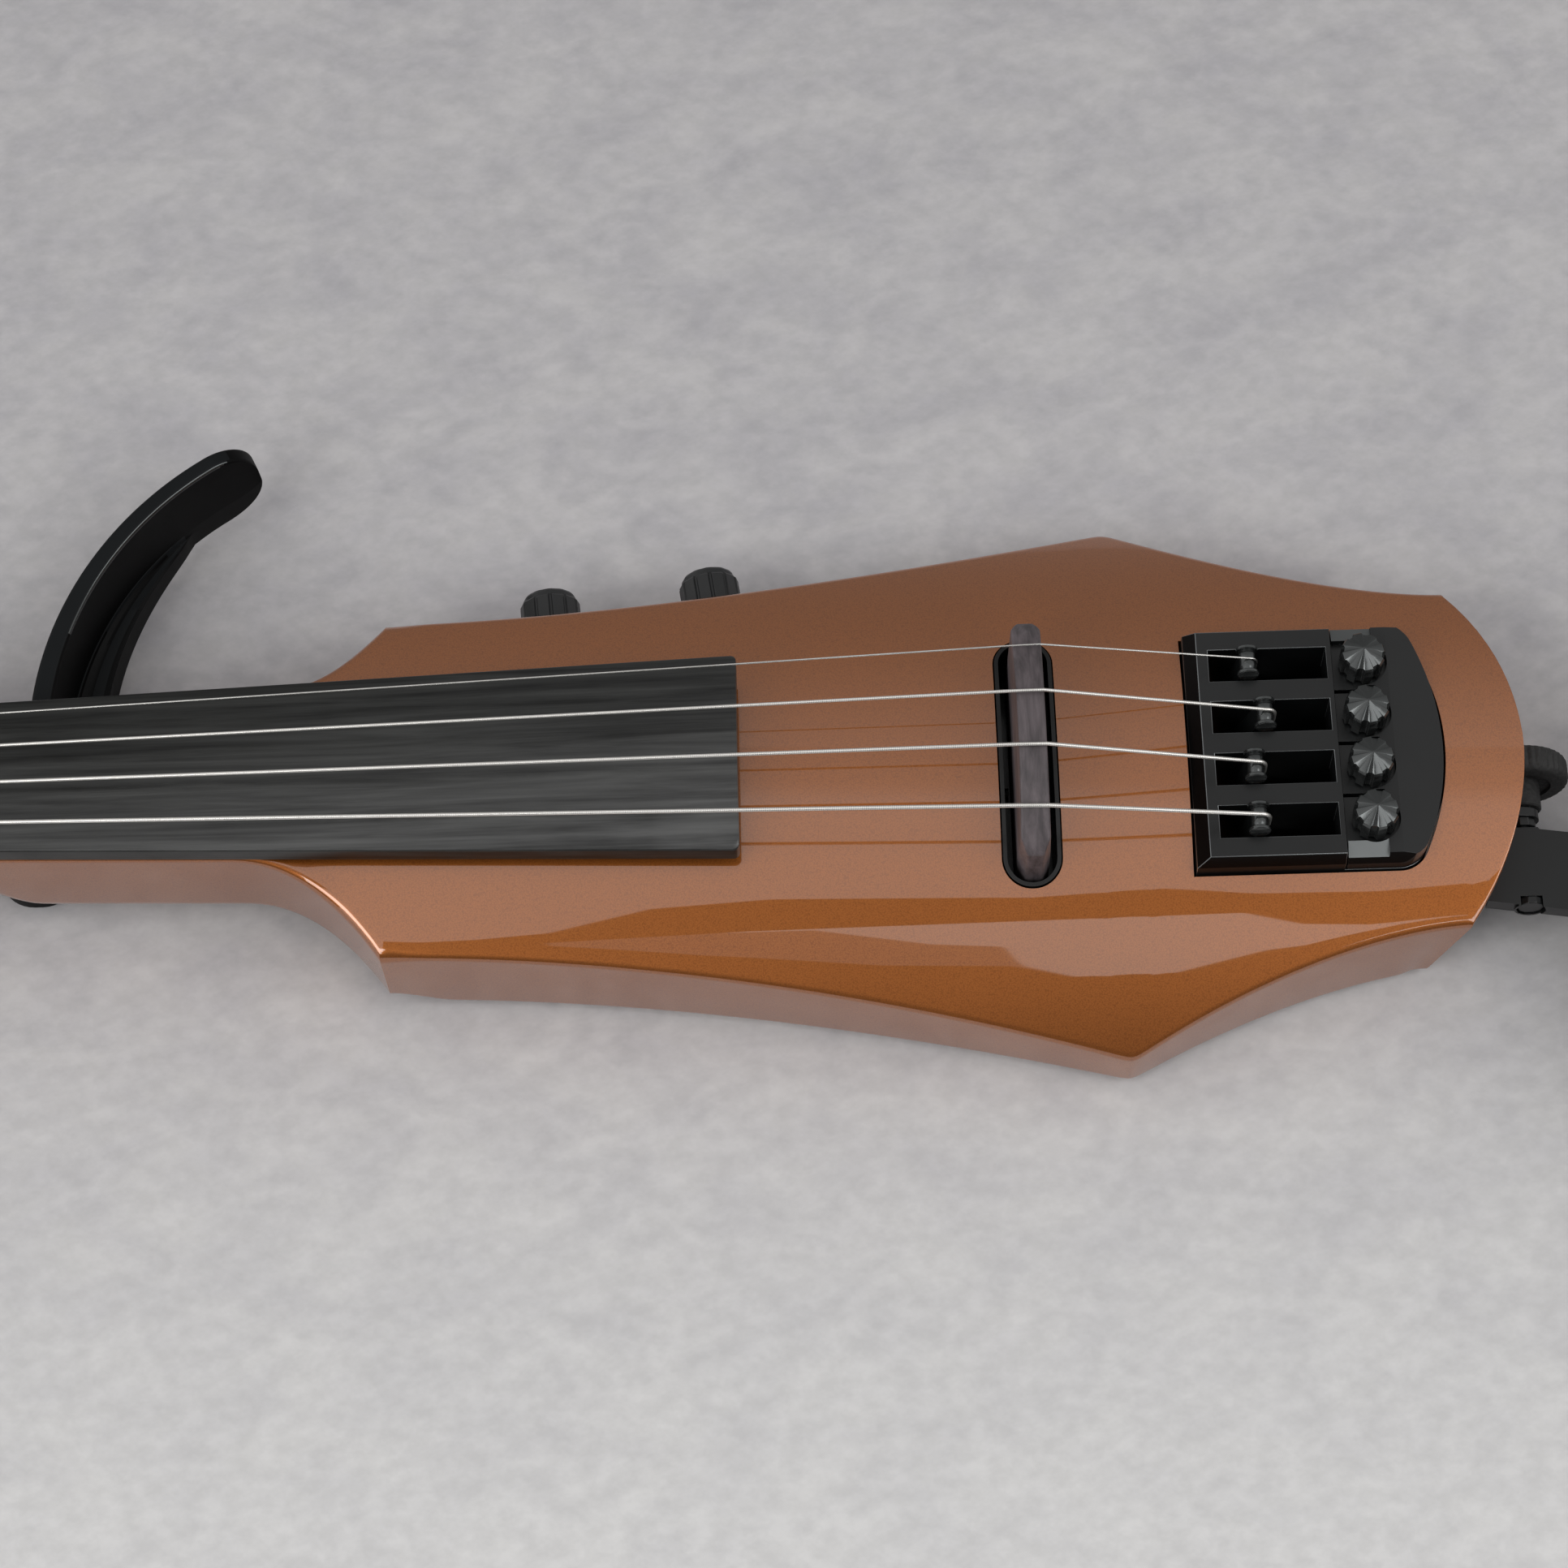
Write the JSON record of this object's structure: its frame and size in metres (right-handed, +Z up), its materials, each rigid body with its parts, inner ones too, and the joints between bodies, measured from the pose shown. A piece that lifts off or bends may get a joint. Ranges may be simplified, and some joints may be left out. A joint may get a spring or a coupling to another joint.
{
  "type": "electric violin",
  "caption": "Solid-body headless electric violin: neck-through body, floating fingerboard, bridge in a lined well, bell-crank tuners, position arm, hinged chin and shoulder rest.",
  "frame": {"origin": "centre of the underside of the box around the whole instrument, lying on its back", "axes": "+X from the head to the tail, +Y to the treble side, +Z up out of the playing side"},
  "size_m": [0.5642, 0.1888, 0.0514],
  "materials": {
    "copper": "gloss copper metallic lacquer over wood",
    "ebony": "oiled dark wood",
    "bridge_wood": "stained layered wood",
    "satin_black": "satin black coating",
    "black_plastic": "matt black",
    "steel": "bright drawn steel",
    "brass": "turned brass",
    "rubber": "knurled black rubber",
    "foam": "closed-cell foam",
    "circuit_board": "solder-masked laminate",
    "carbon": "pultruded carbon fibre"
  },
  "bodies": {
    "frame": {"body": "copper", "fingerboard": "ebony", "nut": "ebony", "neck_rod": "carbon", "bridge": "bridge_wood", "bridge_pickup": "black_plastic", "bridge_well_liner": "black_plastic", "pickup_lead": "black_plastic", "string_head_plate": "satin_black", "tuner_block": "satin_black", "tuner_rear_cover": "satin_black", "lever_axle": "steel", "string_e": "steel", "string_a": "steel", "string_d": "steel", "string_g": "steel", "volume_pot": "steel", "tone_pot": "steel", "output_jack": "steel", "output_jack_nut": "satin_black", "circuit_board": "circuit_board", "cavity_cover": "black_plastic", "cavity_cover_screw_1": "steel", "cavity_cover_screw_2": "steel", "position_arm": "satin_black", "position_arm_screw_1": "steel", "position_arm_screw_2": "steel", "rest_bracket": "satin_black", "rest_bracket_screw_1": "steel", "rest_bracket_screw_2": "steel"},
    "tuner_e": {"tuner_knob_e": "satin_black", "tuner_screw_e": "steel"},
    "traveller_e": {"tuner_traveller_e": "brass"},
    "lever_e": {"tuner_lever_e": "satin_black"},
    "tuner_a": {"tuner_knob_a": "satin_black", "tuner_screw_a": "steel"},
    "traveller_a": {"tuner_traveller_a": "brass"},
    "lever_a": {"tuner_lever_a": "satin_black"},
    "tuner_d": {"tuner_knob_d": "satin_black", "tuner_screw_d": "steel"},
    "traveller_d": {"tuner_traveller_d": "brass"},
    "lever_d": {"tuner_lever_d": "satin_black"},
    "tuner_g": {"tuner_knob_g": "satin_black", "tuner_screw_g": "steel"},
    "traveller_g": {"tuner_traveller_g": "brass"},
    "lever_g": {"tuner_lever_g": "satin_black"},
    "volume_control": {"volume_shaft": "steel", "volume_knob": "black_plastic"},
    "tone_control": {"tone_shaft": "steel", "tone_knob": "black_plastic"},
    "wheel": {"rest_thumb_wheel": "rubber", "rest_hinge_pin": "steel"},
    "rest": {"rest_bar": "satin_black", "chin_rest_post_1": "satin_black", "chin_rest_post_2": "satin_black", "chin_rest": "black_plastic", "shoulder_swivel_bolt": "steel"},
    "shoulder_rest": {"shoulder_frame": "satin_black", "shoulder_pad": "foam"}
  },
  "joints": [
    {"name": "tuner_turn_e", "type": "hinge", "parent": "frame", "child": "tuner_e", "pos_m": [0.16588, 0.03191, 0.0344], "axis": [0, 0, 1], "range_deg": [-900, 900]},
    {"name": "traveller_slide_e", "type": "slide", "parent": "frame", "child": "traveller_e", "axis": [0, 0, 1], "range_m": [-0.00176, 0.00176]},
    {"name": "lever_tilt_e", "type": "hinge", "parent": "frame", "child": "lever_e", "pos_m": [0.14328, 0.03191, 0.018], "axis": [0, 1, 0], "range_deg": [-4.5, 4.5], "deforming": ["string_e"]},
    {"name": "tuner_turn_a", "type": "hinge", "parent": "frame", "child": "tuner_a", "pos_m": [0.16588, 0.02071, 0.0344], "axis": [0, 0, 1], "range_deg": [-900, 900]},
    {"name": "traveller_slide_a", "type": "slide", "parent": "frame", "child": "traveller_a", "axis": [0, 0, 1], "range_m": [-0.00176, 0.00176]},
    {"name": "lever_tilt_a", "type": "hinge", "parent": "frame", "child": "lever_a", "pos_m": [0.14328, 0.02071, 0.018], "axis": [0, 1, 0], "range_deg": [-4.5, 4.5], "deforming": ["string_a"]},
    {"name": "tuner_turn_d", "type": "hinge", "parent": "frame", "child": "tuner_d", "pos_m": [0.16588, 0.00951, 0.0344], "axis": [0, 0, 1], "range_deg": [-900, 900]},
    {"name": "traveller_slide_d", "type": "slide", "parent": "frame", "child": "traveller_d", "axis": [0, 0, 1], "range_m": [-0.00176, 0.00176]},
    {"name": "lever_tilt_d", "type": "hinge", "parent": "frame", "child": "lever_d", "pos_m": [0.14328, 0.00951, 0.018], "axis": [0, 1, 0], "range_deg": [-4.5, 4.5], "deforming": ["string_d"]},
    {"name": "tuner_turn_g", "type": "hinge", "parent": "frame", "child": "tuner_g", "pos_m": [0.16588, -0.00169, 0.0344], "axis": [0, 0, 1], "range_deg": [-900, 900]},
    {"name": "traveller_slide_g", "type": "slide", "parent": "frame", "child": "traveller_g", "axis": [0, 0, 1], "range_m": [-0.00176, 0.00176]},
    {"name": "lever_tilt_g", "type": "hinge", "parent": "frame", "child": "lever_g", "pos_m": [0.14328, -0.00169, 0.018], "axis": [0, 1, 0], "range_deg": [-4.5, 4.5], "deforming": ["string_g"]},
    {"name": "volume_turn", "type": "hinge", "parent": "frame", "child": "volume_control", "pos_m": [0.00398, 0.05322, 0.014], "axis": [-0.084, 0.9965, 0], "range_deg": [-150, 150]},
    {"name": "tone_turn", "type": "hinge", "parent": "frame", "child": "tone_control", "pos_m": [0.03718, 0.05699, 0.014], "axis": [-0.1398, 0.9902, 0], "range_deg": [-150, 150]},
    {"name": "wheel_turn", "type": "hinge", "parent": "frame", "child": "wheel", "pos_m": [0.19798, 0.01511, 0.016], "axis": [0, 1, 0], "range_deg": [-360, 360]},
    {"name": "rest_tilt", "type": "hinge", "parent": "frame", "child": "rest", "pos_m": [0.19798, -0.00489, 0.016], "axis": [0, 1, 0], "range_deg": [-12, 12]},
    {"name": "shoulder_swivel", "type": "hinge", "parent": "rest", "child": "shoulder_rest", "pos_m": [0.26438, -0.01542, 0.01], "axis": [0, 0, 1], "range_deg": [-25, 25]}
  ],
  "couplings": [
    {"joint": "traveller_slide_e", "follows": "tuner_turn_e", "m_per_rad": 0.00011141},
    {"joint": "lever_tilt_e", "follows": "tuner_turn_e", "ratio": -0.0049296},
    {"joint": "traveller_slide_a", "follows": "tuner_turn_a", "m_per_rad": 0.00011141},
    {"joint": "lever_tilt_a", "follows": "tuner_turn_a", "ratio": -0.0049296},
    {"joint": "traveller_slide_d", "follows": "tuner_turn_d", "m_per_rad": 0.00011141},
    {"joint": "lever_tilt_d", "follows": "tuner_turn_d", "ratio": -0.0049296},
    {"joint": "traveller_slide_g", "follows": "tuner_turn_g", "m_per_rad": 0.00011141},
    {"joint": "lever_tilt_g", "follows": "tuner_turn_g", "ratio": -0.0049296}
  ]
}
